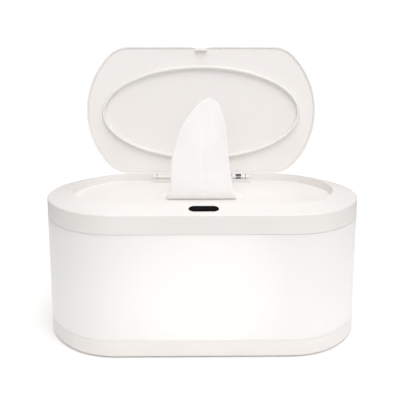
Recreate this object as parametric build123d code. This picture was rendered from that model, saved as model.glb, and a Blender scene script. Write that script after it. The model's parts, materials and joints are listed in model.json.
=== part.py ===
"""Baby wipe warmer: a translucent glowing body on a base pan, a heated tub inside it,
a cover that lifts off to refill the tub, and a sprung flip lid over the dispensing slot.

Millimetres. The origin is the centre of the underside, +Z up, the front faces -Y.
The lid is drawn closed and then turned open about its hinge, as the product is shown in use.
"""
from build123d import *
import math
import os

# ---- Body outline, seen from above: flat front and back, corner arcs, flatter end arcs ----
body_width = 255.0
body_depth = 162.0
corner_radius = 50.0
corner_sweep = 47.0  # degrees that each corner arc turns before the end arc takes over

# ---- Heights ----
base_top = 13.8  # seam between base pan and glowing shell
shell_top = 97.2
cover_bottom = 97.35  # the cover's band hangs just above the shell: the upper seam
crease_height = 112.0  # the vertical band turns into the sloping shoulder
crest_height = 116.65
recess_floor = 109.8

# ---- Walls ----
side_draft = 0.46  # the body is this much smaller all round at the bottom
shell_wall = 2.4
cover_wall = 2.2
base_wall = 3.6
seam_bevel = 0.2

# ---- Shoulder and recess, as distances in from the outer outline ----
shoulder_inset = 19.0
recess_inset = 19.8
recess_draft = 1.0

# ---- Tub ----
tub_inset = 16.2
tub_wall = 1.8
tub_floor = 24.0
tub_draft_angle = 1.5
tub_flange = 2.0

# ---- Lid and hinge ----
lid_inset = 23.6
lid_rim = 113.6  # underside of the lid's rim when closed
lid_edge = 3.2
lid_crown = 1.4
lid_wall = 1.8
lid_panel_sink = 0.8
lip_bevel = 0.7  # slope of the lip round the inner panel
lid_panel_thickness = 1.2
lid_open_angle = 101.4
hinge_y = 61.0
hinge_z = 113.5
hinge_x = 33.5
knuckle_radius = 2.9
knuckle_width = 12.4
pocket_width = 13.6
pocket_back = 64.6
pin_radius = 1.25
pin_length = 19.0
ear_radius = 2.6
ear_width = 3.2
spring_gap = 4.8
sill_front, sill_back = 54.2, 55.4  # low sill that closes each hinge pocket in front
sill_top = 112.8
seal_half_length = 88.2
seal_half_width = 40.8
seal_centre_y = 2.5
seal_thickness = 1.6
seal_foot = 4.0  # the rib's width where it stands on the panel
seal_tip = 110.1

# ---- Release button and catch ----
button_length = 22.4
button_width = 8.4
button_y = -70.5
button_proud = 0.4
button_under = 110.4
cam_top_front = -73.8
cam_thickness = 3.5
cam_half_width = 5.0
cam_bottom = 105.8
catch_low = 106.2
catch_high = 108.6
catch_front = -75.8
catch_back = -63.4
catch_half_width = 9.0
nose_half_width = 6.0
nose_low = 111.9
nose_high = 113.3
nose_tip = -56.3
slide_gap = 0.3
hook_low = 110.4
latch_plate_low = 100.2
latch_plate_high = 101.6
latch_front, latch_back = -77.0, -63.6
latch_half_length = 23.0
latch_screw_x = 19.0

# ---- Power inlet and light button at the back of the base ----
inlet_height = 7.9
inlet_radius = 2.9
inlet_mouth = 75.8  # the socket stands just behind the hole in the band
inlet_mouth_length = 4.0
inlet_chamber_radius = 3.4
inlet_chamber_back = 64.0
inlet_hole_radius = 4.2
contact_radius = 1.0
light_button_x = 34.0
light_button_radius = 3.0
light_flange_radius = 4.2
light_flange_front = 75.5

# ---- Inside the base ----
base_floor = 1.7
base_lift = 1.5
shadow_gap = 1.2  # the band ends this far above the table
plinth_inset, plinth_inner = 3.6, 9.0  # the pan stands on a plinth between these insets
bottom_edge = 1.1
post_x, post_y = 88.0, 40.0
post_radius = 4.75
post_top = 14.2
screw_seat = 8.0
foot_x, foot_y = 82.0, 52.0
foot_radius = 7.0
foot_height = 2.3
board_low = 6.8
board_thickness = 1.6
board_half_length = 45.0
board_front, board_back = 29.0, 67.0
board_screw_x = 41.0
board_screw_y = (33.0, 62.0)
connector_x, connector_y = 30.0, 35.5
connector_height = 5.0
lead_radius = 0.7
lead_height = 15.4
lead_gap = 1.6
led_y = -72.4
led_board_low, led_board_high = 12.0, 13.2
led_half_length = 40.0
led_pitch = 20.0

# ---- Heater under the tub's floor, from the tub down ----
clamp_x, clamp_y = 83.0, 18.0
boss_radius = 3.5
plate_low = 22.8
film_low = 22.0
pad_low = 18.0
clamp_low = 16.8
thermostat_x, thermostat_radius = 30.0, 6.0
fuse_x, fuse_length, fuse_width = -30.0, 20.0, 7.0

# ---- Dispensing slot and wipes ----
slot_length, slot_width = 56.0, 20.0
slot_rim = 5.0
grommet_flange, grommet_overhang = 0.8, 2.0
stack_length, stack_width, stack_height = 174.0, 98.0, 22.0
ribbon_thickness = 2.2

# Worked out from the values above
half_depth = body_depth / 2
corner_turn = math.radians(corner_sweep)
end_radius = (half_depth - corner_radius * (1 - math.cos(corner_turn))) / math.cos(corner_turn)
end_depth = corner_radius * math.sin(corner_turn) + end_radius * (1 - math.sin(corner_turn))
flat_half = body_width / 2 - end_depth
shoulder_slope = (crest_height - crease_height) / shoulder_inset
shoulder_angle = math.degrees(math.atan(shoulder_slope))
shoulder_drop = cover_wall / math.cos(math.radians(shoulder_angle))


# ---------------------------------------------------------------- helpers

def outline(inset):
    """The body's plan outline, moved in by inset; every inset shares the same arc centres."""
    corner = corner_radius - inset
    end = end_radius - inset
    corner_y = half_depth - corner_radius
    end_x = flat_half + (corner_radius - end_radius) * math.sin(corner_turn)
    joint_x = flat_half + corner * math.sin(corner_turn)
    joint_y = corner_y + corner * math.cos(corner_turn)
    middle_x = flat_half + corner * math.sin(corner_turn / 2)
    middle_y = corner_y + corner * math.cos(corner_turn / 2)
    side_y = half_depth - inset
    edges = []
    for side in (1, -1):
        edges += [
            Line((-side * flat_half, -side * side_y), (side * flat_half, -side * side_y)),
            ThreePointArc(
                (side * flat_half, -side * side_y),
                (side * middle_x, -side * middle_y),
                (side * joint_x, -side * joint_y),
            ),
            ThreePointArc(
                (side * joint_x, -side * joint_y),
                (side * (end_x + end), 0),
                (side * joint_x, side * joint_y),
            ),
            ThreePointArc(
                (side * joint_x, side * joint_y),
                (side * middle_x, side * middle_y),
                (side * flat_half, side * side_y),
            ),
        ]
    return make_face(edges)


def slab(inset, low, high):
    return Pos(0, 0, low) * extrude(outline(inset), high - low)


def tapered_slab(inset_low, inset_high, low, high):
    angle = math.degrees(math.atan((inset_high - inset_low) / (high - low)))
    return Pos(0, 0, low) * extrude(outline(inset_low), high - low, taper=angle)


def ring(inset_out, inset_in, low, high):
    return slab(inset_out, low, high) - slab(inset_in, low - 1, high + 1)


def block(x, y, z):
    """A box from (low, high) pairs along each axis."""
    size = [pair[1] - pair[0] for pair in (x, y, z)]
    centre = [(pair[0] + pair[1]) / 2 for pair in (x, y, z)]
    return Pos(*centre) * Box(*size)


def rod(radius, x, y, low, high):
    """An upright round bar."""
    return Pos(x, y, (low + high) / 2) * Cylinder(radius, high - low)


def rod_x(radius, x_low, x_high, y, z):
    return Pos((x_low + x_high) / 2, y, z) * Rot(0, 90, 0) * Cylinder(radius, x_high - x_low)


def rod_y(radius, x, y_low, y_high, z):
    return Pos(x, (y_low + y_high) / 2, z) * Rot(90, 0, 0) * Cylinder(radius, y_high - y_low)


def pill(length, width, x, y, low, high):
    """An upright bar with two round ends."""
    return Pos(x, y, low) * extrude(SlotOverall(length, width), high - low)


def plate(length, width, radius, x, y, low, high):
    """A flat plate with rounded corners."""
    return Pos(x, y, low) * extrude(RectangleRounded(length, width, radius), high - low)


def corners(x, y):
    return [(i * x, j * y) for i in (-1, 1) for j in (-1, 1)]


def body_inset(height):
    """How far the drafted side stands in from the widest outline at a height."""
    return side_draft * (1 - height / crease_height)


def edges_at(shape, height):
    """The level edges of a shape at a height."""
    found = []
    for edge in shape.edges():
        box = edge.bounding_box()
        if abs(box.min.Z - height) < 0.02 and abs(box.max.Z - height) < 0.02:
            found.append(edge)
    return found


def shoulder_at(y):
    """Height of the front shoulder's surface at a (negative) y."""
    return crease_height + (half_depth + y) * shoulder_slope


def save(node, shape):
    export_step(shape, os.path.join("parts", node + ".step"))


# ---------------------------------------------------------------- base

def base_pan():
    """Bottom band, floor, foot seats, screw posts and the lip that centres the shell."""
    top_inset = body_inset(base_top)
    pan = tapered_slab(side_draft, top_inset, shadow_gap, base_top)
    pan = fillet(edges_at(pan, shadow_gap), bottom_edge)
    pan = chamfer(edges_at(pan, base_top), seam_bevel)
    pan += slab(plinth_inset, 0, base_lift)
    lip_inset = top_inset + shell_wall + 0.1
    pan += ring(lip_inset, base_wall + side_draft, base_top - 1, base_top + 2.4)
    pan -= slab(base_wall + side_draft, base_lift + base_floor, base_top + 3)
    pan -= slab(plinth_inner, -1, base_lift)
    for x, y in corners(foot_x, foot_y):
        pan += rod(foot_radius + 1.6, x, y, 0.6, base_lift + 1)
        pan -= rod(foot_radius + 0.1, x, y, -1, foot_height)
    for x, y in corners(post_x, post_y):
        pan += rod(post_radius, x, y, base_lift, post_top)
        pan -= rod(3.4, x, y, 0, screw_seat)
        pan -= rod(1.7, x, y, 0, post_top + 1)
    for x, y in board_screw_places():
        pan += rod(2.6, x, y, base_lift, board_low)
        pan -= rod(1.02, x, y, base_lift + base_floor, board_low + 1)
    for x in (-led_half_length - 2, led_half_length + 2):
        pan += rod(2.6, x, led_y, base_lift, led_board_low)
    pan -= rod_y(inlet_hole_radius, 0, 70, 90, inlet_height)
    return pan - rod_y(light_button_radius + slide_gap, light_button_x, 70, 90, inlet_height)


def foot_pads():
    pad = chamfer(edges_at(Cylinder(foot_radius, foot_height), -foot_height / 2), 0.5)
    return Compound([Pos(x, y, foot_height / 2) * pad for x, y in corners(foot_x, foot_y)])


def screw(head_radius, head_height, shank_radius, length):
    """Pan head at the bottom, shank pointing up, a cross recess in the head."""
    head = chamfer(edges_at(Cylinder(head_radius, head_height), -head_height / 2), head_height * 0.3)
    head = Pos(0, 0, -head_height / 2) * head
    shank = Pos(0, 0, length / 2) * Cylinder(shank_radius, length)
    body = head + chamfer(edges_at(shank, length), shank_radius * 0.4)
    recess = Box(head_radius, head_radius * 0.25, 1) + Box(head_radius * 0.25, head_radius, 1)
    return body - Pos(0, 0, -head_height) * recess


def screw_group(places, height, head_radius, head_height, shank_radius, length):
    part = screw(head_radius, head_height, shank_radius, length)
    return Compound([Pos(x, y, height) * part for x, y in places])


def board_screw_places():
    return [(x, y) for x in (-board_screw_x, board_screw_x) for y in board_screw_y]


def board_screws():
    """Driven down from above, so turned over."""
    part = Rot(180, 0, 0) * screw(1.9, 1.3, 1.0, 4.0)
    top = board_low + board_thickness
    return Compound([Pos(x, y, top) * part for x, y in board_screw_places()])


def control_board():
    """Circuit board with a notch in its rear edge, in which the inlet sits."""
    high = board_low + board_thickness
    board = block((-board_half_length, board_half_length), (board_front, board_back), (board_low, high))
    board = fillet(board.edges().filter_by(Axis.Z), 2.0)
    board -= block((-4.7, 4.7), (inlet_chamber_back - 2.7, board_back + 1), (0, 20))
    for x, y in board_screw_places():
        board -= rod(1.1, x, y, 0, 20)
    return board


def board_parts():
    """Regulator, inductor, capacitors and two connectors that stand on the board."""
    top = board_low + board_thickness
    regulator = block((-30, -24), (42, 47), (top, top + 1.6))
    inductor = rod(4.0, -14, 45, top, top + 4.5)
    capacitors = [rod(2.5, x, 56, top, top + 7) for x in (-26, -18)]
    controller = block((8, 15), (40, 47), (top, top + 1.2))
    connectors = []
    for x in (-connector_x, connector_x):
        y = (connector_y - 2.5, connector_y + 2.5)
        body = block((x - 4, x + 4), y, (top, top + connector_height))
        connectors.append(chamfer(body.edges().filter_by(Axis.Z), 0.6))
    return Compound([regulator, inductor, *capacitors, controller, *connectors])


def power_inlet():
    """Barrel socket: a round mouth, a wider chamber behind it and the contact pin in that."""
    bore_end = inlet_mouth - inlet_mouth_length
    low, high = inlet_height - 4.3, inlet_height + 4.3
    body = block((-4.5, 4.5), (inlet_chamber_back - 2.5, bore_end + 0.4), (low, high))
    body = chamfer(body.edges().filter_by(Axis.Y), 0.6)
    body += rod_y(4.0, 0, bore_end, inlet_mouth, inlet_height)
    body -= rod_y(inlet_chamber_radius, 0, inlet_chamber_back, bore_end, inlet_height)
    body -= rod_y(inlet_radius, 0, bore_end - 1, inlet_mouth + 1, inlet_height)
    return body + rod_y(contact_radius, 0, inlet_chamber_back - 1, bore_end - 0.2, inlet_height)


def light_switch():
    """Small push switch on the board's rear edge, facing the light button."""
    x, y, z = light_button_x, board_back, inlet_height
    body = block((x - 3, x + 3), (y, y + 3.5), (z - 2.7, z + 2.7))
    return body + rod_y(1.5, x, y + 3.4, y + 5.6, z)


def light_button():
    """Round push button in the back of the band, kept in by its flange."""
    x, front = light_button_x, light_flange_front
    cap = rod_y(light_button_radius, x, front + 0.9, half_depth + 0.1, inlet_height)
    cap = fillet(cap.faces().sort_by(Axis.Y)[-1].edges(), 0.6)
    flange = rod_y(light_flange_radius, x, front, front + 1, inlet_height)
    return cap + flange + rod_y(1.4, x, front - 2, front + 0.1, inlet_height)


def led_board():
    half = led_half_length + 10
    return block((-half, half), (led_y - 3.8, led_y + 3.8), (led_board_low, led_board_high))


def led_chips():
    chip = chamfer(Box(3.5, 2.8, 1.2).edges().filter_by(Axis.Z), 0.3)
    count = round(2 * led_half_length / led_pitch) + 1
    places = [led_pitch * i - led_half_length for i in range(count)]
    return Compound([Pos(x, led_y, led_board_high + 0.6) * chip for x in places])


def wire(points, bends):
    """An insulated wire along straight runs with rounded corners."""
    path = FilletPolyline(*points, radius=bends)
    start = Plane(origin=path @ 0, z_dir=path % 0)
    return sweep(start * Circle(lead_radius), path=path)


def heater_leads():
    """Two wires from the board's right connector to the tail of the heater film."""
    connector_top = board_low + board_thickness + connector_height
    z = lead_height
    wires = []
    for step in (-lead_gap, lead_gap):
        x, y = connector_x + step, connector_y
        tail_x, tail_y = 66.0 + step, 45.0
        route = [
            (x, y, connector_top),
            (x, y, z),
            (50.0 + step, 40.0 - step, z),
            (tail_x, tail_y, z),
            (tail_x, tail_y, film_low),
        ]
        wires.append(wire(route, [1.8, 12.0, 4.0]))
    return Compound(wires)


def led_leads():
    """Two wires from the board's left connector forward to the LED board."""
    connector_top = board_low + board_thickness + connector_height
    z = lead_height
    wires = []
    for step in (-lead_gap, lead_gap):
        x, y = step - connector_x, connector_y
        end_x, end_y = x - 4.0, led_y + 2.4
        route = [
            (x, y, connector_top),
            (x, y, z),
            (x + 4.0, 0.0, z),
            (end_x, -40.0, z),
            (end_x, end_y, z),
            (end_x, end_y, led_board_high),
        ]
        wires.append(wire(route, [1.6, 60.0, 60.0, 1.5]))
    return Compound(wires)


# ---------------------------------------------------------------- shell and tub

def glow_shell():
    """Translucent wall; a rebate round its inner top edge carries the tub's flange."""
    low_inset = body_inset(base_top)
    high_inset = body_inset(shell_top)
    shell = tapered_slab(low_inset, high_inset, base_top, shell_top)
    shell = chamfer(edges_at(shell, base_top) + edges_at(shell, shell_top), seam_bevel)
    shell -= tapered_slab(low_inset + shell_wall, high_inset + shell_wall, base_top, shell_top)
    shell -= slab(high_inset + shell_wall - 0.9, shell_top - tub_flange, shell_top + 1)
    return shell


def inner_tub():
    """Drafted tub with a wide flange, screw bosses and heater-clamp bosses below its floor."""
    depth = shell_top - tub_floor
    draft = depth * math.tan(math.radians(tub_draft_angle))
    flange_inset = body_inset(shell_top) + shell_wall - 0.8
    outside = tapered_slab(tub_inset + draft, tub_inset, tub_floor, shell_top)
    outside = fillet(edges_at(outside, tub_floor), 6.0)
    inside_low = tub_floor + tub_wall
    inside = tapered_slab(
        tub_inset + tub_wall + draft, tub_inset + tub_wall, inside_low, shell_top + 0.5
    )
    inside = fillet(edges_at(inside, inside_low), 5.0)
    tub = outside + slab(flange_inset, shell_top - tub_flange, shell_top)
    for x, y in corners(post_x, post_y):
        tub += rod(4.2, x, y, post_top, tub_floor + 1)
    for x, y in corners(clamp_x, clamp_y):
        tub += rod(boss_radius, x, y, pad_low, tub_floor + 1)
    tub -= inside
    for x, y in corners(post_x, post_y):
        tub -= rod(1.52, x, y, 10, tub_floor - 1)
    for x, y in corners(clamp_x, clamp_y):
        tub -= rod(1.27, x, y, 10, tub_floor - 1)
    return tub


def heater_plate():
    return plate(156, 86, 10, 0, 0, plate_low, tub_floor)


def heater_film():
    film = plate(150, 78, 8, 0, 0, film_low, plate_low)
    return film + block((60, 72), (38, 48), (film_low, plate_low))


def insulation_pad():
    pad = plate(152, 84, 9, 0, 0, pad_low, film_low)
    pad -= rod(thermostat_radius + 1, thermostat_x, 0, 10, 30)
    return pad - pill(fuse_length, fuse_width, fuse_x, 0, 10, 30)


def heater_clamp():
    """Stamped plate with four ears that presses the heater against the tub."""
    clamp = plate(148, 50, 8, 0, 0, clamp_low, pad_low)
    ear = 2 * (clamp_x + 5)
    for y in (-clamp_y, clamp_y):
        clamp += plate(ear, 14, 6, 0, y, clamp_low, pad_low)
        for x in (-52, 0, 56):
            clamp -= pill(22, 8, x, y, 10, 30)
    clamp -= rod(thermostat_radius + 1.2, thermostat_x, 0, 10, 30)
    clamp -= pill(fuse_length + 0.6, fuse_width + 0.6, fuse_x, 0, 10, 30)
    for x, y in corners(clamp_x, clamp_y):
        clamp -= rod(1.4, x, y, 10, 30)
    return clamp


def thermostat():
    """Snap-disc thermostat against the heater film, with its two tabs bridged below."""
    x, low = thermostat_x, film_low - 6.0
    body = fillet(edges_at(rod(thermostat_radius, x, 0, low, film_low), low), 0.8)
    tabs = block((x - 3, x + 3), (-1.2, 1.2), (low - 2.6, low))
    return body + tabs - block((x - 1.6, x + 1.6), (-2, 2), (low - 3, low - 0.4))


def thermal_fuse():
    z = film_low - 2.0
    body = rod_x(2.0, fuse_x - 6, fuse_x + 6, 0, z)
    body = chamfer(body.faces().sort_by(Axis.X)[-1].edges(), 0.8)
    return body + rod_x(0.5, fuse_x - 9, fuse_x + 9, 0, z)


# ---------------------------------------------------------------- cover

def cover_outside():
    band = slab(0, cover_bottom, crease_height)
    shoulder = tapered_slab(0, shoulder_inset, crease_height, crest_height)
    cover = band + shoulder
    cover = chamfer(edges_at(cover, cover_bottom), seam_bevel)
    cover = fillet(edges_at(cover, crease_height), 1.2)
    return fillet(edges_at(cover, crest_height), 0.6)


def rim_cavity():
    """The hollow under the band and shoulder, one wall thickness inside them."""
    low = crease_height + cover_wall * shoulder_slope - shoulder_drop
    inner = recess_inset - cover_wall
    high = low + (inner - cover_wall) * shoulder_slope
    hollow = slab(cover_wall, cover_bottom - 1, low) + tapered_slab(cover_wall, inner, low, high)
    pan_low = recess_floor - cover_wall
    pan_inset = recess_inset + recess_draft - cover_wall
    pan = tapered_slab(pan_inset, pan_inset - recess_draft, pan_low, crest_height)
    return hollow - pan


def recess():
    cut = tapered_slab(recess_inset + recess_draft, recess_inset, recess_floor, crest_height)
    cut = fillet(edges_at(cut, recess_floor), 1.0)
    return cut + slab(recess_inset, crest_height, crest_height + 2)


def hinge_block(side):
    """Ears at the recess wall and a solid block behind them, round one hinge pocket."""
    centre = side * hinge_x
    half = pocket_width / 2 + ear_width
    x = (centre - half, centre + half)
    ears = rod_x(ear_radius, *x, hinge_y, hinge_z)
    ears += block(x, (hinge_y - ear_radius, hinge_y + 1), (recess_floor - 1, hinge_z))
    return ears + block(x, (hinge_y, 69.0), (recess_floor - 5, crest_height - 1.5))


def hinge_sill(side):
    centre = side * hinge_x
    half = pocket_width / 2 + ear_width
    return block((centre - half, centre + half), (sill_front, sill_back), (recess_floor - 1, sill_top))


def hinge_pocket(side):
    centre = side * hinge_x
    half = pocket_width / 2
    x = (centre - half, centre + half)
    return block(x, (hinge_y - 6, pocket_back), (recess_floor, crest_height + 3))


def pill_hole():
    return pill(button_length + 0.6, button_width + 0.6, 0, button_y, 105, 120)


def catch_window():
    half = nose_half_width + 0.6
    return block((-half, half), (-66, -58), (nose_low - 0.4, nose_high + 0.4))


def top_cover():
    """Band, sloping shoulder and recessed floor in one moulding, with a skirt into the tub."""
    outside = cover_outside()
    cover = outside - rim_cavity() - recess()
    pan_inset = recess_inset + recess_draft - cover_wall
    cover += ring(pan_inset, pan_inset + 1.6, 91.0, recess_floor - 1)
    for side in (-1, 1):
        cover += hinge_block(side) & outside
        cover -= hinge_pocket(side)
        cover += hinge_sill(side)
        cover -= rod_x(pin_radius + 0.01, side * hinge_x - 10.0, side * hinge_x + 10.0, hinge_y, hinge_z)
    for x, y in latch_screw_places():
        cover += rod(3.2, x, y, latch_plate_high, shoulder_at(y) - 1)
        cover -= rod(1.1, x, y, latch_plate_high - 1, latch_plate_high + 6.4)
    cover -= pill_hole()
    cover -= catch_window()
    hole = (slot_length + 2 * slot_rim, slot_width + 2 * slot_rim)
    seat = [size + 2 * grommet_overhang for size in hole]
    cover -= pill(*hole, 0, 0, 100, 112)
    return cover - pill(*seat, 0, 0, recess_floor - grommet_flange, 112)


def cover_seal():
    """Flat gasket round the skirt, with a thin lip towards the tub's flange."""
    inner = recess_inset + recess_draft - cover_wall
    seal = ring(inner - 3.6, inner - 0.05, cover_bottom + 0.8, cover_bottom + 2.2)
    return seal + ring(inner - 3.6, inner - 2.8, cover_bottom, cover_bottom + 1.0)


def slot_grommet():
    """Soft collar let into the floor, flush on top, with a flange above and below."""
    neck = [size + 2 * slot_rim - 0.2 for size in (slot_length, slot_width)]
    top = [size + 2 * grommet_overhang for size in neck]
    clip = [size + 3 for size in neck]
    pan_low = recess_floor - cover_wall
    collar = pill(*neck, 0, 0, pan_low, recess_floor)
    collar += pill(*top, 0, 0, recess_floor - grommet_flange, recess_floor)
    collar += pill(*clip, 0, 0, pan_low - grommet_flange, pan_low)
    collar -= pill(slot_length, slot_width, 0, 0, 100, 115)
    return chamfer(edges_at(collar, recess_floor), 0.15)


def hinge_pins():
    half = pin_length / 2
    pins = []
    for side in (-1, 1):
        pin = rod_x(pin_radius, side * hinge_x - half, side * hinge_x + half, hinge_y, hinge_z)
        pins.append(chamfer(pin.edges(), 0.25))
    return Compound(pins)


def lid_spring():
    """Torsion spring round the right hinge pin, shown as its closed coil and one leg."""
    half = spring_gap / 2 - 0.4
    coil = rod_x(2.3, hinge_x - half, hinge_x + half, hinge_y, hinge_z)
    coil -= rod_x(1.6, hinge_x - 5, hinge_x + 5, hinge_y, hinge_z)
    leg_x = (hinge_x + half - 0.6, hinge_x + half)
    return coil + block(leg_x, (hinge_y, pocket_back), (hinge_z - 2.3, hinge_z - 1.7))


# ---------------------------------------------------------------- release latch

def latch_screw_places():
    return [(x, button_y) for x in (-latch_screw_x, latch_screw_x)]


def cam_y(height, clearance):
    """Front and back of the slanted cam at a height."""
    front = cam_top_front + (button_under - height)
    return front - clearance, front + cam_thickness + clearance


def cam(low, high, half_width, clearance):
    """Slanted key on the button, or with a clearance, the slot that it drives."""
    low_front, low_back = cam_y(low, clearance)
    high_front, high_back = cam_y(high, clearance)
    side = Polyline((low_front, low), (low_back, low), (high_back, high), (high_front, high), close=True)
    face = Plane.YZ.offset(-half_width) * make_face(side.edges())
    return extrude(face, 2 * half_width)


def above_shoulder(offset):
    """Everything over the front shoulder's plane, moved up by offset."""
    big = Pos(0, 0, 30) * Box(80, 80, 60)
    return Pos(0, button_y, shoulder_at(button_y) + offset) * Rot(shoulder_angle, 0, 0) * big


def release_button():
    """Black pill whose top follows the shoulder, with side tabs and the slanted cam below."""
    cap = pill(button_length, button_width, 0, button_y, button_under, 120)
    cap -= above_shoulder(button_proud)
    cap = fillet(cap.faces().sort_by(Axis.Z)[-1].edges(), 0.35)
    tab_end = button_length / 2 + 1.6
    tabs = block((-tab_end, tab_end), (button_y - 2, button_y + 2), (button_under, button_under + 1.0))
    return cap + tabs + cam(cam_bottom, button_under + 0.5, cam_half_width, 0)


def release_catch():
    """Slider with a slanted slot; its nose reaches through the recess wall over the lid's hook."""
    x = (-catch_half_width, catch_half_width)
    body = block(x, (catch_front, catch_back), (catch_low, catch_high))
    body -= cam(catch_low - 1, catch_high + 1, cam_half_width + slide_gap, slide_gap * math.sqrt(2))
    nose_x = (-nose_half_width, nose_half_width)
    riser = block(nose_x, (catch_back - 1.3, catch_back), (catch_high - 0.5, nose_high))
    nose = block(nose_x, (catch_back - 1.3, nose_tip), (nose_low, nose_high))
    nose = chamfer(nose.edges().filter_by(Axis.X).group_by(Axis.Z)[-1].sort_by(Axis.Y)[-1], 0.9)
    return body + riser + nose


def latch_housing():
    """Channel under the front rim that carries the catch and backs the button's spring."""
    y = (latch_front, latch_back)
    x = (-latch_half_length, latch_half_length)
    housing = block(x, y, (latch_plate_low, latch_plate_high))
    housing = fillet(housing.edges().filter_by(Axis.Z), 2.0)
    low = latch_plate_high - 0.2
    rail_top = catch_high + slide_gap
    for side in (-1, 1):
        inner = side * (catch_half_width + slide_gap)
        outer = side * (catch_half_width + 2.0)
        ledge = side * (catch_half_width - 1.8)
        lip = side * (catch_half_width - 0.7)
        housing += block(sorted((ledge, outer)), y, (low, catch_low - slide_gap))
        housing += block(sorted((inner, outer)), y, (low, rail_top))
        housing += block(sorted((lip, outer)), (latch_front, latch_front + 2), (rail_top, rail_top + 0.8))
    for place in latch_screw_places():
        housing -= rod(1.3, *place, latch_plate_low - 1, latch_plate_high + 1)
    return housing


def button_spring():
    """Return spring between the housing and the cam's foot, shown as its outer sleeve."""
    front, back = cam_y(cam_bottom, 0)
    y = (front + back) / 2
    spring = rod(1.7, 0, y, latch_plate_high, cam_bottom)
    return spring - rod(1.2, 0, y, latch_plate_high - 1, cam_bottom + 1)


# ---------------------------------------------------------------- lid

def opened(shape):
    """Turn a piece of the lid from closed to open about the hinge axis."""
    there = Pos(0, hinge_y, hinge_z)
    back = Pos(0, -hinge_y, -hinge_z)
    return there * Rot(-lid_open_angle, 0, 0) * back * shape


def lid_solid():
    """The lid's outer form when closed: outline, slight crown from front to back, soft edge."""
    high = lid_rim + lid_edge + lid_crown
    half = half_depth - lid_inset
    crown_radius = (half**2 + lid_crown**2) / (2 * lid_crown)
    crown = rod_x(crown_radius, -150, 150, 0, high - crown_radius)
    lid = slab(lid_inset, lid_rim, high + 1) & crown
    top = [e for e in lid.edges() if (e @ 0.5).Z > lid_rim + 1]
    return fillet(top, 1.4)


def finger_notch():
    """Shallow notch in the lid's front edge, over the catch."""
    front = -(half_depth - lid_inset)
    notch = block((-7.75, 7.75), (front - 2, front + 1.4), (lid_rim - 4, lid_rim + 8))
    return fillet(notch.edges().filter_by(Axis.Z).group_by(Axis.Y)[-1], 1.0)


def hinge_arm(side):
    """Arm and knuckle; the right one is forked round the spring."""
    centre = side * hinge_x
    half = knuckle_width / 2
    x = (centre - half, centre + half)
    arm = rod_x(knuckle_radius, *x, hinge_y, hinge_z)
    arm += block(x, (56.4, hinge_y), (hinge_z - 2.5, hinge_z + 2.5))
    if side > 0:
        gap = (centre - spring_gap / 2, centre + spring_gap / 2)
        arm -= block(gap, (58.2, 65), (hinge_z - 4, hinge_z + 4))
    return arm - rod_x(pin_radius + 0.06, centre - 8, centre + 8, hinge_y, hinge_z)


def lid_outer():
    lid = lid_solid()
    face = lid_rim + lid_panel_sink + lid_panel_thickness
    inner = lid_inset + lid_wall
    lid -= slab(inner, lid_rim - 1, face)
    lid -= tapered_slab(inner - lip_bevel, inner, lid_rim, lid_rim + lip_bevel)
    for side in (-1, 1):
        lid += hinge_arm(side)
    return opened(lid - finger_notch())


def lid_inner():
    """Flat inner panel with a groove for the seal and the hook that the catch holds."""
    face = lid_rim + lid_panel_sink
    panel = slab(lid_inset + lid_wall + 0.1, face, face + lid_panel_thickness - 0.05)
    panel -= Pos(0, -0.1, 0) * finger_notch()
    panel -= seal_band(face - 1, face + 0.5, 0.05)
    hook_x = (-5.0, 5.0)
    hook_front = nose_tip + slide_gap
    panel += block(hook_x, (hook_front + 1.2, hook_front + 2.7), (hook_low, face + 0.5))
    foot = block(hook_x, (hook_front, hook_front + 2.7), (hook_low, nose_low - slide_gap))
    foot = chamfer(foot.edges().filter_by(Axis.X).group_by(Axis.Z)[0].sort_by(Axis.Y)[0], 0.6)
    return opened(panel + foot)


def seal_band(low, high, clearance):
    """Upright elliptical wall."""
    half = seal_thickness / 2 + clearance
    outer = Ellipse(seal_half_length + half, seal_half_width + half)
    inner = Ellipse(seal_half_length - half, seal_half_width - half)
    return Pos(0, seal_centre_y, low) * extrude(outer - inner, high - low)


def seal_flank(side, low, high):
    """Elliptical cone that is the rib's outer (1) or inner (-1) flank."""
    sizes = []
    for width in (seal_thickness, seal_foot):
        half = side * width / 2
        sizes.append((seal_half_length + half, seal_half_width + half))
    tip = Pos(0, seal_centre_y, low) * Ellipse(*sizes[0])
    foot = Pos(0, seal_centre_y, high) * Ellipse(*sizes[1])
    return loft([tip, foot], ruled=True)


def lid_seal():
    """Elliptical sealing rib with sloping flanks that closes on the floor round the slot."""
    face = lid_rim + lid_panel_sink
    rib = seal_flank(1, seal_tip, face) - seal_flank(-1, seal_tip, face)
    rib = fillet(edges_at(rib, seal_tip), 0.6)
    return opened(rib + seal_band(face - 0.1, face + 0.5, 0))


# ---------------------------------------------------------------- wipes

def ribbon(width, x, y, bulge, height):
    """Closed section of pleated cloth: four arcs to and fro, front and back."""
    step = width / 4
    start = x - width / 2
    half = ribbon_thickness / 2
    edges = []
    for face in (y - half, y + half):
        for i in range(4):
            left = start + i * step
            middle = face + (bulge if i % 2 else -bulge)
            edges.append(
                ThreePointArc((left, face), (left + step / 2, middle), (left + step, face))
            )
    edges += [Line((end, y - half), (end, y + half)) for end in (start, start + width)]
    return Pos(0, 0, height) * make_face(edges)


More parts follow.
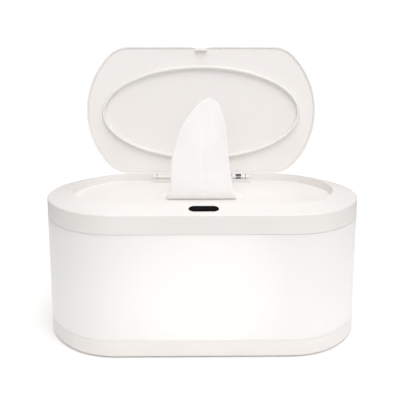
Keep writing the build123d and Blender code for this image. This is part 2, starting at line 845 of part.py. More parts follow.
def wipe():
    """The next wipe: pulled up to a peak, bulging over the slot's front, its tail on the stack."""
    stack_top = tub_floor + tub_wall + stack_height + 0.2
    forms = [  # height, width, x, y, depth of the pleats
        (stack_top + 0.6, 60.0, -1.0, -3.4, 2.4),
        (102.0, 49.0, -1.2, -3.6, 2.4),
        (110.4, 49.4, -1.2, -4.6, 2.4),
        (112.2, 49.4, -1.2, -17.0, 2.4),
        (114.5, 50.0, -1.3, -19.2, 2.4),
        (119.0, 50.2, -1.3, -19.6, 2.4),
        (127.0, 49.4, -1.3, -17.6, 2.3),
        (140.0, 47.2, -2.2, -12.6, 2.1),
        (153.0, 43.1, -1.2, -8.9, 1.8),
        (165.0, 38.2, 0.2, -6.6, 1.5),
        (175.0, 29.4, 2.4, -5.3, 1.1),
        (183.0, 20.0, 4.2, -4.7, 0.8),
        (188.5, 11.5, 5.3, -4.5, 0.5),
        (191.5, 4.0, 5.6, -4.5, 0.2),
    ]
    sections = [ribbon(width, x, y, bulge, height) for height, width, x, y, bulge in forms]
    return loft(sections, ruled=True)


def wipe_stack():
    low = tub_floor + tub_wall + 0.2
    stack = plate(stack_length, stack_width, 10, 0, 0, low, low + stack_height)
    return fillet(edges_at(stack, low + stack_height), 3.0)


# ---------------------------------------------------------------- all pieces

def pieces():
    return {
        "base_pan": base_pan(),
        "foot_pads": foot_pads(),
        "base_screws": screw_group(corners(post_x, post_y), screw_seat, 3.0, 2.0, 1.5, 12.0),
        "control_board": control_board(),
        "board_parts": board_parts(),
        "board_screws": board_screws(),
        "power_inlet": power_inlet(),
        "light_switch": light_switch(),
        "light_button": light_button(),
        "led_board": led_board(),
        "led_chips": led_chips(),
        "heater_leads": heater_leads(),
        "led_leads": led_leads(),
        "glow_shell": glow_shell(),
        "inner_tub": inner_tub(),
        "heater_plate": heater_plate(),
        "heater_film": heater_film(),
        "insulation_pad": insulation_pad(),
        "heater_clamp": heater_clamp(),
        "clamp_screws": screw_group(corners(clamp_x, clamp_y), clamp_low, 2.5, 1.6, 1.25, 6.0),
        "thermostat": thermostat(),
        "thermal_fuse": thermal_fuse(),
        "wipe_stack": wipe_stack(),
        "top_cover": top_cover(),
        "cover_seal": cover_seal(),
        "slot_grommet": slot_grommet(),
        "hinge_pins": hinge_pins(),
        "lid_spring": lid_spring(),
        "latch_housing": latch_housing(),
        "latch_screws": screw_group(latch_screw_places(), latch_plate_low, 2.2, 1.2, 1.0, 6.0),
        "button_spring": button_spring(),
        "wipe": wipe(),
        "release_button": release_button(),
        "release_catch": release_catch(),
        "lid_outer": lid_outer(),
        "lid_inner": lid_inner(),
        "lid_seal": lid_seal(),
    }


os.makedirs("parts", exist_ok=True)
for node, shape in pieces().items():
    save(node, shape)
    print(node, "volume", round(shape.volume, 1))
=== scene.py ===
"""Baby wipe warmer, dressed for a high-key studio photograph.

The frame brings the construction. This script gives every surface its finish, and makes the soft
pieces: the wipe that stands in the slot, and the folded wipes in the tub below it.
Metres, +Z up, the front with the release button faces -Y.
"""
import json
import math

import bpy
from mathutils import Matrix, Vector, noise

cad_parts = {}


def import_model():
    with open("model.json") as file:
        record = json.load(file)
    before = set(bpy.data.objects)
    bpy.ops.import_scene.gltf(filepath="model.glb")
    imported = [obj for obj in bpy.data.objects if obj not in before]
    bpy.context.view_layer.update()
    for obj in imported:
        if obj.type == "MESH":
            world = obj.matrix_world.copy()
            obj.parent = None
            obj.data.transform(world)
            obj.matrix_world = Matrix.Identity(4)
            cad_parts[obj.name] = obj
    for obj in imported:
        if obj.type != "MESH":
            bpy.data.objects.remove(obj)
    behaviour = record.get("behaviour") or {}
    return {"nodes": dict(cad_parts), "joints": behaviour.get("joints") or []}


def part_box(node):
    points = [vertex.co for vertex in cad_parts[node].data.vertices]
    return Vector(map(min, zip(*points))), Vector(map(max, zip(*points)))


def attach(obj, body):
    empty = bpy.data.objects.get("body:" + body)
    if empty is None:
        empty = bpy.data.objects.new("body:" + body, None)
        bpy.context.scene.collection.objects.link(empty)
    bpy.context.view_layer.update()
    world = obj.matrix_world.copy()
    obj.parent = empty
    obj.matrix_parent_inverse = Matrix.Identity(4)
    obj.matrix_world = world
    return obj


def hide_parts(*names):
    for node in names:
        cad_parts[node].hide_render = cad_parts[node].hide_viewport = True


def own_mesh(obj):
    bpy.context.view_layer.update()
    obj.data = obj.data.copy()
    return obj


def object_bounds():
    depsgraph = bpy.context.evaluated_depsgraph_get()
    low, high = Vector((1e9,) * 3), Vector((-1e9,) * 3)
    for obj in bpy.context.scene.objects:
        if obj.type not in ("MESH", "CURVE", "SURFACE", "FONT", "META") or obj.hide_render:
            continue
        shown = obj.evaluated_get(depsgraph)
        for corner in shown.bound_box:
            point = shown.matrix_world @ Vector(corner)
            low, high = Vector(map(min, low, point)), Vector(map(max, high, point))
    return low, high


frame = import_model()
cad_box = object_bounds()
scene = bpy.context.scene
scene.view_settings.view_transform = "Standard"
MM = 0.001

# ---- Camera: where the photograph was taken from, and its square 400-pixel frame ----
CAMERA_PLACE = (-9.3 * MM, -637.3 * MM, 246.2 * MM)
CAMERA_TILT_DEG = 12.43  # below the level
CAMERA_TURN_DEG = -0.83
CAMERA_LENS_MM = 70.3
CAMERA_SHIFT = -2.3 / 400

# ---- Studio ----
FLOOR_RADIUS = 0.45  # beyond it the white background takes over
FLOOR_GLOW = 0.06
FLOOR_DROP = 0.05 * MM  # the floor lies this far under the plinth, so that the two don't flicker
WORLD_LIGHT = 0.44
LAMPS = {  # name: direction from the object, distance, diameter, power in watts
    "key_soft_box": ((0.60, -0.50, 0.62), 1.8, 1.3, 2.8),
    "overhead_soft_box": ((0.0, 0.15, 1.0), 1.9, 1.6, 14.0),
    "upper_front_soft_box": ((0.0, -0.60, 1.0), 1.9, 1.4, 13.0),
    "front_fill": ((0.0, -1.0, 0.35), 2.0, 1.6, 6.0),
    "right_fill": ((1.0, -0.10, 0.30), 2.0, 1.2, 4.2),
}

# ---- Wipes: one spunlace wipe, its size when cut, and how thick it looks ----
WIPE_CUT = (174 * MM, 196 * MM)
WIPE_THICKNESS = 0.45 * MM
STACK_COUNT = 11
WIPE_SPREAD = 4.0 * MM  # how far its sides spread where it rests on the cover


# ---------------------------------------------------------------- shader helpers

def linear(hex_code):
    """An sRGB hex colour as the linear RGBA that shaders take."""
    channels = [int(hex_code[i:i + 2], 16) / 255 for i in (1, 3, 5)]
    return [c / 12.92 if c <= 0.04045 else ((c + 0.055) / 1.055) ** 2.4 for c in channels] + [1.0]


def add(tree, kind, inputs=None, **settings):
    """Add a shader node with its settings, each input given a value or the output that feeds it."""
    made = tree.nodes.new("ShaderNode" + kind)
    for name, value in settings.items():
        setattr(made, name, value)
    for socket, value in (inputs or {}).items():
        if isinstance(value, bpy.types.NodeSocket):
            tree.links.new(value, made.inputs[socket])
        else:
            made.inputs[socket].default_value = value
    return made


def start(name, **sockets):
    """A new material, its node tree and its shader, with the shader's plain sockets set."""
    material = bpy.data.materials.new(name)
    material.use_nodes = True
    tree = material.node_tree
    shader = tree.nodes["Principled BSDF"]
    for socket, value in sockets.items():
        shader.inputs[socket.replace("_", " ")].default_value = value
    return material, tree, shader


def place(tree):
    """Where a point lies on the object, in metres."""
    return add(tree, "TexCoord").outputs["Object"]


def drift(tree, shader, light, dark, size_mm, detail=2.0):
    """Base colour that wanders between two close tones over patches of a real size."""
    patches = add(tree, "TexNoise", {"Vector": place(tree), "Scale": 1 / (size_mm * MM), "Detail": detail})
    ramp = add(tree, "ValToRGB", {"Fac": patches.outputs["Fac"]})
    ramp.color_ramp.elements[0].position = 0.3
    ramp.color_ramp.elements[0].color = linear(dark)
    ramp.color_ramp.elements[1].position = 0.7
    ramp.color_ramp.elements[1].color = linear(light)
    tree.links.new(ramp.outputs["Color"], shader.inputs["Base Color"])


def grain(tree, shader, size_mm, height_mm, vector=None, detail=3.0):
    """Fine relief of a real size and height."""
    bumps = add(
        tree,
        "TexNoise",
        {"Vector": vector or place(tree), "Scale": 1 / (size_mm * MM), "Detail": detail},
    )
    relief = add(tree, "Bump", {"Height": bumps.outputs["Fac"], "Distance": height_mm * MM})
    tree.links.new(relief.outputs["Normal"], shader.inputs["Normal"])


def polish(tree, shader, low, high, size_mm):
    """Roughness that varies in soft patches, as on a moulding wiped by hand."""
    patches = add(tree, "TexNoise", {"Vector": place(tree), "Scale": 1 / (size_mm * MM), "Detail": 1.0})
    spread = add(tree, "MapRange", {"Value": patches.outputs["Fac"], "To Min": low, "To Max": high})
    tree.links.new(spread.outputs["Result"], shader.inputs["Roughness"])


def stretched(tree, x, y, z):
    """Object coordinates scaled along each axis, for marks that run one way."""
    return add(tree, "Mapping", {"Vector": place(tree), "Scale": (x, y, z)}).outputs["Vector"]


# ---------------------------------------------------------------- materials

def moulded_abs():
    """ABS, injection moulded in a satin tool: warm white with a soft, broad highlight."""
    material, tree, shader = start("moulded_abs", IOR=1.53, Subsurface_Weight=0.08)
    shader.inputs["Subsurface Radius"].default_value = (1.6 * MM, 1.3 * MM, 1.0 * MM)
    shader.inputs["Subsurface Scale"].default_value = 1.0
    drift(tree, shader, "#E9E5E2", "#E6E2DF", 45)
    polish(tree, shader, 0.36, 0.46, 30)
    grain(tree, shader, 0.9, 0.006)  # spark-eroded grain, drawn coarser than its 0.1 mm
    return material


def lid_abs_painted_lighter():
    """The same ABS from a finer tool, as lids have it: a little smoother; its tone is painted a shade
    lighter than the body's to brighten the lid.
    """
    material, tree, shader = start("lid_abs_painted_lighter", IOR=1.53, Subsurface_Weight=0.08)
    shader.inputs["Subsurface Radius"].default_value = (1.6 * MM, 1.3 * MM, 1.0 * MM)
    shader.inputs["Subsurface Scale"].default_value = 1.0
    # painted light: the lid's tone is set a shade lighter than the body's, a painted brightening of the lid
    drift(tree, shader, "#EDE9E6", "#EBE7E4", 60)
    polish(tree, shader, 0.30, 0.38, 40)
    grain(tree, shader, 1.2, 0.004)
    return material


def milky_polypropylene():
    """Translucent polypropylene over warm LEDs, with a painted glow, brightest in the middle of the front.
    """
    material, tree, shader = start("milky_polypropylene", IOR=1.49, Subsurface_Weight=0.35)
    shader.inputs["Subsurface Radius"].default_value = (7 * MM, 6 * MM, 5 * MM)
    shader.inputs["Subsurface Scale"].default_value = 1.0
    shader.inputs["Emission Color"].default_value = linear("#FFFBF5")
    drift(tree, shader, "#F3EFEB", "#F1EDE9", 70)
    polish(tree, shader, 0.38, 0.46, 50)
    grain(tree, shader, 1.4, 0.004)
    # painted glow: emission strength painted on in a soft ball at the middle of the front, in place of the
    # LEDs' light coming through
    front = cad_box[0].y
    near = add(
        tree,
        "Mapping",
        {"Vector": place(tree), "Location": (0, front, 58 * MM), "Scale": (92 * MM, 60 * MM, 95 * MM)},
        vector_type="TEXTURE",
    )
    ball = add(tree, "TexGradient", {"Vector": near.outputs["Vector"]}, gradient_type="SPHERICAL")
    glow = add(
        tree,
        "MapRange",
        {"Value": ball.outputs["Fac"], "From Max": 0.85, "To Min": 0.015, "To Max": 0.115},
        interpolation_type="SMOOTHSTEP",
    )
    tree.links.new(glow.outputs["Result"], shader.inputs["Emission Strength"])
    return material


def moulded_polypropylene():
    """Plain polypropylene of the tub: white, waxy and a little duller than the outside."""
    material, tree, shader = start("moulded_polypropylene", IOR=1.49)
    drift(tree, shader, "#E8E9E7", "#E2E3E1", 35)
    polish(tree, shader, 0.40, 0.52, 20)
    grain(tree, shader, 1.0, 0.008)
    return material


def silicone():
    """Moulded silicone of the seals: matt, soft white, with a faint bloom at a low angle."""
    material, tree, shader = start("silicone", IOR=1.41, Sheen_Weight=0.15, Sheen_Roughness=0.5)
    drift(tree, shader, "#EDEBE9", "#E8E6E3", 12)
    polish(tree, shader, 0.55, 0.68, 15)
    grain(tree, shader, 0.7, 0.008)
    return material


def foot_rubber():
    """Moulded rubber of the feet: dark grey, dusty where it meets the table."""
    material, tree, shader = start("foot_rubber", IOR=1.52)
    drift(tree, shader, "#5B5B5D", "#474749", 4)
    polish(tree, shader, 0.70, 0.85, 5)
    grain(tree, shader, 0.8, 0.03)
    return material


def matt_black_abs():
    """Through-coloured black ABS of the release button, finely textured: it swallows highlights."""
    material, tree, shader = start("matt_black_abs", IOR=1.53, Specular_IOR_Level=0.03)
    drift(tree, shader, "#060606", "#020202", 8)
    polish(tree, shader, 0.55, 0.65, 6)
    return material


def acetal():
    """Natural acetal of the latch: creamy, self-lubricating, slightly waxy."""
    material, tree, shader = start("acetal", IOR=1.48)
    drift(tree, shader, "#E6E4DA", "#DFDDD2", 9)
    polish(tree, shader, 0.32, 0.42, 8)
    grain(tree, shader, 0.8, 0.006)
    return material


def zinc_plated_steel():
    """Bright zinc plate on rolled steel: blue-grey, with fine drawn lines."""
    material, tree, shader = start("zinc_plated_steel", Metallic=1.0)
    drift(tree, shader, "#C9CCD0", "#AEB2B8", 1.5)
    polish(tree, shader, 0.22, 0.38, 1.2)
    grain(tree, shader, 0.4, 0.01, stretched(tree, 1, 6, 1))
    return material


def rolled_aluminium():
    """Mill-finish aluminium sheet: soft grey with rolling lines along its length."""
    material, tree, shader = start("rolled_aluminium", Metallic=1.0)
    drift(tree, shader, "#D8D9DB", "#C4C6C9", 14)
    polish(tree, shader, 0.28, 0.42, 10)
    grain(tree, shader, 0.9, 0.012, stretched(tree, 0.05, 1, 1))
    return material


def polyimide_film():
    """Heater film: amber polyimide with the darker serpentine of the etched track in it."""
    material, tree, shader = start("polyimide_film", IOR=1.7, Coat_Weight=0.4, Coat_Roughness=0.15)
    track = add(
        tree,
        "TexWave",
        {"Vector": place(tree), "Scale": 1 / (22 * MM), "Distortion": 0.6},
        bands_direction="Y",
    )
    ramp = add(tree, "ValToRGB", {"Fac": track.outputs["Fac"]})
    ramp.color_ramp.elements[0].position = 0.45
    ramp.color_ramp.elements[0].color = linear("#7A4418")
    ramp.color_ramp.elements[1].position = 0.55
    ramp.color_ramp.elements[1].color = linear("#C98A2E")
    tree.links.new(ramp.outputs["Color"], shader.inputs["Base Color"])
    polish(tree, shader, 0.25, 0.35, 12)
    return material


def glass_felt():
    """Needled glass-fibre felt of the insulation: off-white, fibrous and quite matt."""
    material, tree, shader = start("glass_felt", Sheen_Weight=0.3, Sheen_Roughness=0.7)
    drift(tree, shader, "#E4E0D2", "#CFCABA", 2.5, detail=6.0)
    polish(tree, shader, 0.85, 0.95, 3)
    grain(tree, shader, 0.8, 0.12, stretched(tree, 1, 3, 1), detail=6.0)
    return material


def solder_mask():
    """Glass-epoxy board under green solder mask, with a lighter shimmer where tracks run."""
    material, tree, shader = start("solder_mask", IOR=1.55, Coat_Weight=0.5, Coat_Roughness=0.1)
    track = add(tree, "TexBrick", {"Vector": place(tree), "Scale": 1 / (12 * MM)})
    track.inputs["Color1"].default_value = linear("#0E4A26")
    track.inputs["Color2"].default_value = linear("#125430")
    track.inputs["Mortar"].default_value = linear("#2C7A48")
    track.inputs["Mortar Size"].default_value = 0.03
    tree.links.new(track.outputs["Color"], shader.inputs["Base Color"])
    polish(tree, shader, 0.25, 0.35, 10)
    return material


def moulded_epoxy():
    """Black epoxy and nylon of the components: charcoal with a fine sand-blasted face."""
    material, tree, shader = start("moulded_epoxy", IOR=1.55)
    drift(tree, shader, "#27282B", "#1B1C1E", 2)
    polish(tree, shader, 0.45, 0.60, 2)
    grain(tree, shader, 0.35, 0.02)
    return material


def led_phosphor():
    """Warm-white LED: yellow phosphor under clear resin, lit."""
    material, tree, shader = start("led_phosphor", IOR=1.5, Coat_Weight=0.8, Emission_Strength=2.0)
    shader.inputs["Emission Color"].default_value = linear("#FFE9C4")
    drift(tree, shader, "#F4E39A", "#EAD37E", 1)
    polish(tree, shader, 0.20, 0.30, 1)
    return material


def pvc_insulation():
    """Extruded PVC of the leads: pale grey with a soft shine."""
    material, tree, shader = start("pvc_insulation", IOR=1.53)
    drift(tree, shader, "#D9D8D6", "#CFCECC", 6)
    polish(tree, shader, 0.32, 0.42, 4)
    return material


def spunlace(name, light, dark):
    """Spunlace non-woven, damp: soft white, fibres laid mostly one way, a little see-through, with a faint
    painted glow.
    """
    material, tree, shader = start(name, IOR=1.4, Sheen_Weight=0.12, Sheen_Roughness=0.6, Roughness=0.8)
    shader.inputs["Emission Color"].default_value = linear("#FFFCFA")
    shader.inputs["Emission Strength"].default_value = 0.13  # painted glow, even all over, that lifts the cloth's shaded parts
    shader.inputs["Subsurface Weight"].default_value = 0.35
    shader.inputs["Subsurface Radius"].default_value = (3.0 * MM, 2.7 * MM, 2.5 * MM)
    shader.inputs["Subsurface Scale"].default_value = 1.0
    drift(tree, shader, light, dark, 9)
    fibres = stretched(tree, 3, 3, 1)
    grain(tree, shader, 1.6, 0.05, fibres, detail=5.0)  # fibre bundles, drawn coarser than their 0.3 mm
    return material


def studio_paper():
    """White paper sweep lit from behind: pure white but for the shadow close to the object."""
    material, tree, shader = start("studio_paper", Roughness=0.95, Emission_Strength=FLOOR_GLOW)
    shader.inputs["Specular IOR Level"].default_value = 0.1
    shader.inputs["Emission Color"].default_value = (1, 1, 1, 1)
    drift(tree, shader, "#FBFBFA", "#F9F9F8", 300)
    return material


# ---------------------------------------------------------------- meshes

def mesh_piece(name, points, faces, material):
    """A smooth-shaded mesh object from points and faces."""
    mesh = bpy.data.meshes.new(name)
    mesh.from_pydata(points, [], faces)
    mesh.polygons.foreach_set("use_smooth", [True] * len(mesh.polygons))
    mesh.materials.append(material)
    made = bpy.data.objects.new(name, mesh)
    scene.collection.objects.link(made)
    return made


def grid_faces(rows, columns):
    """Quads over a grid of points that is stored row by row."""
    return [
        (i * columns + j, i * columns + j + 1, (i + 1) * columns + j + 1, (i + 1) * columns + j)
        for i in range(rows - 1)
        for j in range(columns - 1)
    ]


def thicken(piece, thickness):
    """Give a sheet its real two faces and rim."""
    shell = piece.modifiers.new("thickness", "SOLIDIFY")
    shell.thickness = thickness
    shell.offset = 0
    return piece


def smooth_step(t):
    t = min(max(t, 0.0), 1.0)
    return t * t * (3 - 2 * t)


# ---------------------------------------------------------------- the standing wipe

def wipe_level(height, edges):
    """Middle, half width and depth of the construction's wipe at a height."""
    found = []
    for a, b in edges:
        if (a.z - height) * (b.z - height) <= 0 and a.z != b.z:
            found.append(a.lerp(b, (height - a.z) / (b.z - a.z)))
    xs = [p.x for p in found]
    ys = [p.y for p in found]
    return Vector(((min(xs) + max(xs)) / 2, (min(ys) + max(ys)) / 2, height)), (max(xs) - min(xs)) / 2


def wipe_line(node, mouth):
    """The middle of the construction's wipe from its peak down, then on over the stack.

    Gives places and half widths, closely spaced. The construction's wipe leans out over the cover
    just clear of it; the cloth rests there, and its folded sides spread a little."""
    corners = [v.co for v in node.data.vertices]
    edges = [(corners[e.vertices[0]], corners[e.vertices[1]]) for e in node.data.edges]
    low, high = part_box("wipe")
    rest, bend, free = mouth + 0.4 * MM, mouth + 2.4 * MM, mouth + 9 * MM
    count = round((high.z - low.z) / (0.25 * MM))
    line = []
    for i in range(count + 1):
        down = (high.z - low.z - 0.9 * MM) * i / count
        here, half = wipe_level(high.z - 0.4 * MM - down, edges)
        half *= math.sqrt(min((down + 0.1 * MM) / (4 * MM), 1.0))
        if rest < here.z < free:
            near_cover = smooth_step((free - here.z) / (free - bend))
            out_of_slot = smooth_step((here.z - rest) / (bend - rest))
            half += WIPE_SPREAD * near_cover * out_of_slot
            here.z = rest + (free - rest) * max(here.z - bend, 0.0) / (free - bend)
        line.append((here, half))
    end, half = line[-1]
    turn, tail, steps = 6 * MM, 54 * MM, 108
    for i in range(1, steps + 1):
        along = tail * i / steps
        bend = min(along / (turn * math.pi / 2), 1.0) * math.pi / 2
        beyond = max(along - turn * math.pi / 2, 0.0)
        shift = Vector((0, turn * (1 - math.cos(bend)) + beyond, turn * (1 - math.sin(bend)) - turn))
        line.append((end + shift, half + 28 * MM * smooth_step(along / tail)))
    return line


def even_rows(line, step):
    """Rows an even step apart along a line: distance from its start, place and half width."""
    rows = [(0.0, *line[0])]
    run, due = 0.0, step
    for (a, half_a), (b, half_b) in zip(line, line[1:]):
        reach = (b - a).length
        while run + reach >= due:
            share = (due - run) / reach
            rows.append((due, a.lerp(b, share), half_a + (half_b - half_a) * share))
            due += step
        run += reach
    return rows


def eased(rows, spread):
    """The same rows with the line's corners rounded over a number of rows each side."""
    made = []
    for i, (run, place_now, half) in enumerate(rows):
        near = rows[max(i - spread, 0):i + spread + 1]
        middle = sum((place_near for _, place_near, _ in near), Vector()) / len(near)
        if i < spread:
            middle = place_now
        made.append((run, middle, half))
    return made


def folded_point(t, half, turn):
    """Where a point of the cloth at t from its middle lies once both sides are folded behind.

    Gives the shift along X from the middle, and the depth behind the front layer."""
    side = 1 if t > 0 else -1
    radius = turn if side > 0 else 2 * turn
    reach = half - radius
    beyond = abs(t) - reach
    if beyond <= 0:
        return t, 0.0
    angle = beyond / radius
    if angle < math.pi:
        return side * (reach + radius * math.sin(angle)), radius * (1 - math.cos(angle))
    return side * (reach - (beyond - math.pi * radius)), 2 * radius


def cut_across(run):
    """Width of the flat cut at a distance from the corner that it is drawn up by."""
    widest = min(WIPE_CUT) * math.sqrt(2)
    far_corner = sum(WIPE_CUT) / math.sqrt(2)
    return min(2 * run, widest, 2 * (far_corner - run))


def folded_rows(rows, columns, mouth):
    """Points of the cloth, row by row: a smooth front layer, both sides folded behind.

    Below the mouth of the slot, at height mouth, it is gathered into pleats."""
    turn = 0.9 * MM
    points = []
    for i, (run, here, half) in enumerate(rows):
        along = (rows[min(i + 1, len(rows) - 1)][1] - rows[max(i - 1, 0)][1]).normalized()
        front = Vector((0, along.z, -along.y)).normalized()
        upright = along.z ** 2
        cloth = max(min(cut_across(run), 6 * half - 5 * MM), 2.08 * half)
        slack = smooth_step(run / (30 * MM)) * upright
        gather = 1.2 * MM * smooth_step((mouth - here.z) / (8 * MM)) * upright
        for j in range(columns):
            t = (j / (columns - 1) - 0.5) * cloth
            x, behind = folded_point(t, half, min(turn, half / 6))
            across = x / half
            fold = 0.55 * math.cos(math.pi * across) + 0.2 * math.sin(2.2 * math.pi * across + 0.6)
            fold -= 0.5 * math.exp(-((across - 0.10) / 0.12) ** 2)
            spot = Vector((x + here.x, behind * 4, here.z))
            crumple = noise.noise(spot / (24 * MM)) * 0.8 + noise.noise(spot / (10 * MM)) * 0.15
            away = (fold + crumple) * slack * MM + gather * math.cos(6 * math.pi * across) - behind
            points.append((here.x + x, here.y + front.y * away, here.z + front.z * away))
    return points


def standing_wipe(material):
    """The next wipe, drawn up by its corner through the slot, and its tail down to the stack.

    One cloth in two pieces that meet in the slot."""
    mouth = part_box("slot_grommet")[1].z
    rows = eased(even_rows(wipe_line(frame["nodes"]["wipe"], mouth), 1.25 * MM), 1)
    columns = 161
    meeting = next(i for i, row in enumerate(rows) if row[1].z < mouth)
    points = folded_rows(rows, columns, mouth)
    leg = rows[meeting][0] * math.sqrt(2)  # the corner above the slot is half a square of this side
    corner = leg * leg / 2
    parts = {
        "standing_wipe": (0, meeting + 1, (leg, leg), corner, "slot_grommet"),
        "wipe_tail": (meeting, len(rows), WIPE_CUT, WIPE_CUT[0] * WIPE_CUT[1] - corner, "folded_wipe_11"),
    }
    for name, (first, last, cut, area, rests_on) in parts.items():
        part = points[first * columns:last * columns]
        piece = mesh_piece(name, part, grid_faces(last - first, columns), material)
        thicken(piece, WIPE_THICKNESS)
        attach(piece, "cover")
        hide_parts("wipe")
        if name == "standing_wipe":
            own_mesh(piece)


# ---------------------------------------------------------------- the folded wipes in the tub

def folded_wipe(number, low, pitch, size, material):
    """One wipe folded in half, its fold in front or behind by turns."""
    length, width = size
    rows, layer, bend_points = 30, 24, 7
    radius = pitch / 4
    way = 1 if number % 2 else -1
    points = []
    for i in range(rows):
        x = (i / (rows - 1) - 0.5) * length
        for j in range(2 * layer + bend_points):
            if j < layer:
                y, z = width / 2 - (width - radius) * j / (layer - 1), 0.0
            elif j < layer + bend_points:
                angle = math.pi * (j - layer + 1) / (bend_points + 1)
                y, z = -width / 2 + radius - radius * math.sin(angle), radius * (1 - math.cos(angle))
            else:
                back = (width - radius) * (j - layer - bend_points) / (layer - 1)
                y, z = -width / 2 + radius + back, 2 * radius
            shift = noise.noise(Vector((number * 7.3, 0.5, 0.0))) * 1.2 * MM
            ripple = noise.noise(Vector((x / (30 * MM), y / (30 * MM), number * 1.7))) * 0.35 * MM
            rim = noise.noise(Vector((number * 3.1, x / (25 * MM), y / (25 * MM)))) * 0.5 * MM
            points.append((x + shift + rim, way * y * 0.985, low + radius + z + ripple * min(number, 6) / 6))
    name = f"folded_wipe_{number:02d}"
    piece = mesh_piece(name, points, grid_faces(rows, 2 * layer + bend_points), material)
    thicken(piece, WIPE_THICKNESS)
    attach(piece, "root")
    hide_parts("wipe_stack")
    return piece


def wipes_in_tub(material):
    low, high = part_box("wipe_stack")
    pitch = (high.z - low.z) / STACK_COUNT
    size = (high.x - low.x - 3 * MM, high.y - low.y)
    for number in range(1, STACK_COUNT + 1):
        folded_wipe(number, low.z + (number - 1) * pitch, pitch, size, material)


# ---------------------------------------------------------------- springs

def coil(name, axis, start_point, length, radius, wire, turns, material):
    """A wound spring as a mesh tube along its helix, with closed ends."""
    sides, steps = 8, 20
    total = round(turns * steps)
    turn_to = Vector((0, 0, 1)).rotation_difference(Vector(axis)).to_matrix()
    path = []
    for i in range(total + 1):
        angle = 2 * math.pi * i / steps
        rise = length * smooth_step(0.08 + 0.84 * i / total)
        local = Vector((radius * math.cos(angle), radius * math.sin(angle), rise))
        path.append(turn_to @ local + Vector(start_point))
    points = []
    for i, here in enumerate(path):
        along = (path[min(i + 1, total)] - path[max(i - 1, 0)]).normalized()
        out = (here - Vector(start_point)).cross(along).normalized()
        up = along.cross(out)
        for k in range(sides):
            angle = 2 * math.pi * k / sides
            points.append(here + wire * (math.cos(angle) * out + math.sin(angle) * up))
    faces = [
        (i * sides + k, i * sides + (k + 1) % sides, (i + 1) * sides + (k + 1) % sides, (i + 1) * sides + k)
        for i in range(total)
        for k in range(sides)
    ]
    faces.append(tuple(reversed(range(sides))))
    faces.append(tuple(total * sides + k for k in range(sides)))
    return mesh_piece(name, points, faces, material)


def button_return_spring(material):
    """Compression spring between the latch housing and the button's cam."""
    low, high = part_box("button_spring")
    wire = 0.22 * MM
    radius = (high.x - low.x) / 2 - wire
    base = ((low.x + high.x) / 2, (low.y + high.y) / 2, low.z + wire)
    piece = coil("button_return_coil", (0, 0, 1), base, high.z - low.z - 2 * wire, radius, wire, 6, material)
    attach(piece, "cover")
    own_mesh(piece)
    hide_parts("button_spring")
    return piece


def lid_torsion_spring(material):
    """Torsion spring round the right hinge pin."""
    low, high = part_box("lid_spring")
    wire = 0.3 * MM
    hinge = next(j for j in frame["joints"] if j["name"] == "lid_hinge")["pos_m"]
    radius = hinge[2] - low.z - wire
    base = (low.x + wire, hinge[1], hinge[2])
    piece = coil("lid_torsion_coil", (1, 0, 0), base, high.x - low.x - 2 * wire, radius, wire, 5, material)
    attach(piece, "cover")
    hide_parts("lid_spring")
    return piece


# ---------------------------------------------------------------- finishes on the construction

def dress(finishes):
    """Give each node of the construction its finish."""
    for node, material in finishes.items():
        made = frame["nodes"][node]
        made.data.materials.clear()
        made.data.materials.append(material)


def finish_all():
    abs_body, abs_lid_painted_lighter = moulded_abs(), lid_abs_painted_lighter()
    polypropylene, silicone_seal = moulded_polypropylene(), silicone()
    steel, aluminium = zinc_plated_steel(), rolled_aluminium()
    board, epoxy, leads = solder_mask(), moulded_epoxy(), pvc_insulation()
    latch = acetal()
    dress({
        "base_pan": abs_body, "top_cover": abs_body, "light_button": abs_body,
        "lid_outer": abs_lid_painted_lighter, "lid_inner": abs_lid_painted_lighter,
        "glow_shell": milky_polypropylene(), "inner_tub": polypropylene,
        "cover_seal": silicone_seal, "slot_grommet": silicone_seal, "lid_seal": silicone_seal,
        "foot_pads": foot_rubber(), "release_button": matt_black_abs(),
        "latch_housing": latch, "release_catch": latch,
        "base_screws": steel, "board_screws": steel, "clamp_screws": steel, "latch_screws": steel,
        "hinge_pins": steel, "heater_plate": aluminium, "heater_clamp": aluminium,
        "heater_film": polyimide_film(), "insulation_pad": glass_felt(),
        "control_board": board, "led_board": board, "board_parts": epoxy, "power_inlet": epoxy,
        "light_switch": epoxy, "thermostat": epoxy, "thermal_fuse": epoxy,
        "led_chips": led_phosphor(), "heater_leads": leads, "led_leads": leads,
    })
    return steel


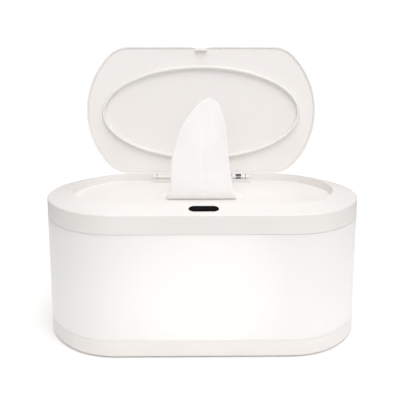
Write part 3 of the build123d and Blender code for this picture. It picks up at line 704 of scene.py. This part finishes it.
# ---------------------------------------------------------------- studio

def floor():
    """A round white floor under the object."""
    count = 96
    ring = [
        (FLOOR_RADIUS * math.cos(2 * math.pi * i / count), FLOOR_RADIUS * math.sin(2 * math.pi * i / count))
        for i in range(count)
    ]
    points = [(x, y, -FLOOR_DROP) for x, y in ring]
    made = mesh_piece("studio_floor", points, [tuple(range(count))], studio_paper())


def world():
    """Even white light from all round; the open background itself is pure white."""
    sky = bpy.data.worlds.new("studio")
    scene.world = sky
    sky.use_nodes = True
    tree = sky.node_tree
    shader = tree.nodes["Background"]
    shader.inputs["Color"].default_value = (1.0, 1.0, 1.0, 1.0)
    path = add(tree, "LightPath")
    strength = add(
        tree, "MapRange", {"Value": path.outputs["Is Camera Ray"], "To Min": WORLD_LIGHT, "To Max": 1.1}
    )
    tree.links.new(strength.outputs["Result"], shader.inputs["Strength"])


def soft_boxes():
    """Large round soft boxes: two from above, two from the right and one from the camera's side."""
    target = Vector((0, 0, 100 * MM))
    for name, (direction, distance, size, power) in LAMPS.items():
        lamp = bpy.data.lights.new(name, "AREA")
        lamp.shape = "DISK"
        lamp.size = size
        lamp.energy = power
        made = bpy.data.objects.new(name, lamp)
        scene.collection.objects.link(made)
        away = Vector(direction).normalized()
        made.location = target + away * distance
        made.rotation_euler = away.to_track_quat("Z", "Y").to_euler()


def camera():
    lens = bpy.data.cameras.new("camera")
    lens.lens = CAMERA_LENS_MM
    lens.sensor_width = 36
    lens.shift_x = CAMERA_SHIFT
    lens.clip_start = 0.01
    made = bpy.data.objects.new("camera", lens)
    made.location = CAMERA_PLACE
    made.rotation_euler = (math.radians(90 - CAMERA_TILT_DEG), 0, math.radians(CAMERA_TURN_DEG))
    scene.collection.objects.link(made)
    scene.camera = made


# ---------------------------------------------------------------- the whole scene

camera()
steel = finish_all()
cloth = spunlace("spunlace_wipe", "#E9E6E5", "#E7E4E3")
wipes_in_tub(cloth)
standing_wipe(cloth)
button_return_spring(steel)
lid_torsion_spring(steel)
floor()
world()
soft_boxes()
